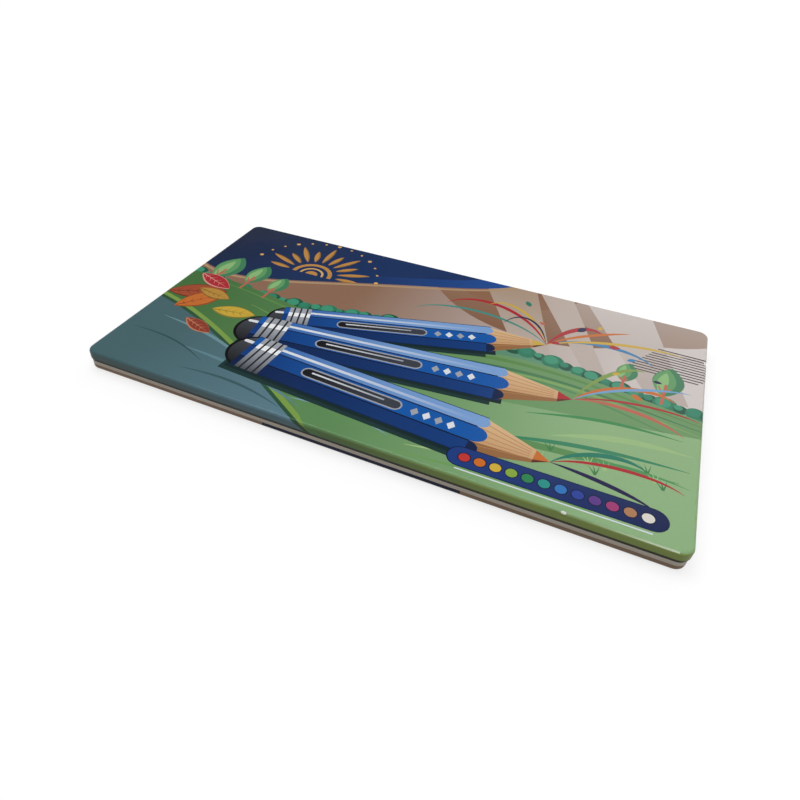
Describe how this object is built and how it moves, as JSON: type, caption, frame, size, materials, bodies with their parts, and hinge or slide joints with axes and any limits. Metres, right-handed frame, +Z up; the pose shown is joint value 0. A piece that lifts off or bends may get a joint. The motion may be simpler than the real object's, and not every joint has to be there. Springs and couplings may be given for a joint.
{
  "type": "coloured pencil tin",
  "caption": "Flat tinplate box with a hinged, printed lid over a plastic tray that holds one row of sharpened coloured pencils.",
  "frame": {"origin": "centre of the flat underside of the base", "axes": "+X along the long side and the row of pencils, +Y towards the hinge, +Z up out of the lid"},
  "size_m": [0.336, 0.1928, 0.013],
  "materials": {
    "base_litho": "offset-printed and varnished tinplate, bare neck",
    "lid_litho": "offset-printed and varnished tinplate, bare inside",
    "hinge_wire": "bright drawn wire",
    "tray_plastic": "thermoformed polystyrene sheet",
    "lead_wax": "waxy pigmented core, each in its pencil's colour",
    "lacquer_01": "glossy lacquer on a cedar casing, bare sharpened cone",
    "lacquer_02": "glossy lacquer on a cedar casing, bare sharpened cone",
    "lacquer_03": "glossy lacquer on a cedar casing, bare sharpened cone",
    "lacquer_04": "glossy lacquer on a cedar casing, bare sharpened cone",
    "lacquer_05": "glossy lacquer on a cedar casing, bare sharpened cone",
    "lacquer_06": "glossy lacquer on a cedar casing, bare sharpened cone",
    "lacquer_07": "glossy lacquer on a cedar casing, bare sharpened cone",
    "lacquer_08": "glossy lacquer on a cedar casing, bare sharpened cone",
    "lacquer_09": "glossy lacquer on a cedar casing, bare sharpened cone",
    "lacquer_10": "glossy lacquer on a cedar casing, bare sharpened cone",
    "lacquer_11": "glossy lacquer on a cedar casing, bare sharpened cone",
    "lacquer_12": "glossy lacquer on a cedar casing, bare sharpened cone",
    "lacquer_13": "glossy lacquer on a cedar casing, bare sharpened cone",
    "lacquer_14": "glossy lacquer on a cedar casing, bare sharpened cone",
    "lacquer_15": "glossy lacquer on a cedar casing, bare sharpened cone",
    "lacquer_16": "glossy lacquer on a cedar casing, bare sharpened cone",
    "lacquer_17": "glossy lacquer on a cedar casing, bare sharpened cone",
    "lacquer_18": "glossy lacquer on a cedar casing, bare sharpened cone",
    "lacquer_19": "glossy lacquer on a cedar casing, bare sharpened cone",
    "lacquer_20": "glossy lacquer on a cedar casing, bare sharpened cone",
    "lacquer_21": "glossy lacquer on a cedar casing, bare sharpened cone",
    "lacquer_22": "glossy lacquer on a cedar casing, bare sharpened cone",
    "lacquer_23": "glossy lacquer on a cedar casing, bare sharpened cone",
    "lacquer_24": "glossy lacquer on a cedar casing, bare sharpened cone",
    "lacquer_25": "glossy lacquer on a cedar casing, bare sharpened cone",
    "lacquer_26": "glossy lacquer on a cedar casing, bare sharpened cone",
    "lacquer_27": "glossy lacquer on a cedar casing, bare sharpened cone",
    "lacquer_28": "glossy lacquer on a cedar casing, bare sharpened cone",
    "lacquer_29": "glossy lacquer on a cedar casing, bare sharpened cone",
    "lacquer_30": "glossy lacquer on a cedar casing, bare sharpened cone",
    "lacquer_31": "glossy lacquer on a cedar casing, bare sharpened cone",
    "lacquer_32": "glossy lacquer on a cedar casing, bare sharpened cone",
    "lacquer_33": "glossy lacquer on a cedar casing, bare sharpened cone",
    "lacquer_34": "glossy lacquer on a cedar casing, bare sharpened cone",
    "lacquer_35": "glossy lacquer on a cedar casing, bare sharpened cone",
    "lacquer_36": "glossy lacquer on a cedar casing, bare sharpened cone"
  },
  "bodies": {
    "tin_base": {"base": "base_litho", "hinge_pin_left": "hinge_wire", "hinge_pin_right": "hinge_wire", "pencil_tray": "tray_plastic", "pencil_leads": "lead_wax", "pencil_01": "lacquer_01", "pencil_02": "lacquer_02", "pencil_03": "lacquer_03", "pencil_04": "lacquer_04", "pencil_05": "lacquer_05", "pencil_06": "lacquer_06", "pencil_07": "lacquer_07", "pencil_08": "lacquer_08", "pencil_09": "lacquer_09", "pencil_10": "lacquer_10", "pencil_11": "lacquer_11", "pencil_12": "lacquer_12", "pencil_13": "lacquer_13", "pencil_14": "lacquer_14", "pencil_15": "lacquer_15", "pencil_16": "lacquer_16", "pencil_17": "lacquer_17", "pencil_18": "lacquer_18", "pencil_19": "lacquer_19", "pencil_20": "lacquer_20", "pencil_21": "lacquer_21", "pencil_22": "lacquer_22", "pencil_23": "lacquer_23", "pencil_24": "lacquer_24", "pencil_25": "lacquer_25", "pencil_26": "lacquer_26", "pencil_27": "lacquer_27", "pencil_28": "lacquer_28", "pencil_29": "lacquer_29", "pencil_30": "lacquer_30", "pencil_31": "lacquer_31", "pencil_32": "lacquer_32", "pencil_33": "lacquer_33", "pencil_34": "lacquer_34", "pencil_35": "lacquer_35", "pencil_36": "lacquer_36"},
    "tin_lid": {"lid": "lid_litho"}
  },
  "joints": [
    {"name": "lid_hinge", "type": "hinge", "parent": "tin_base", "child": "tin_lid", "pos_m": [0, 0.09625, 0.0069], "axis": [-1, 0, 0], "range_deg": [0, 180]}
  ]
}
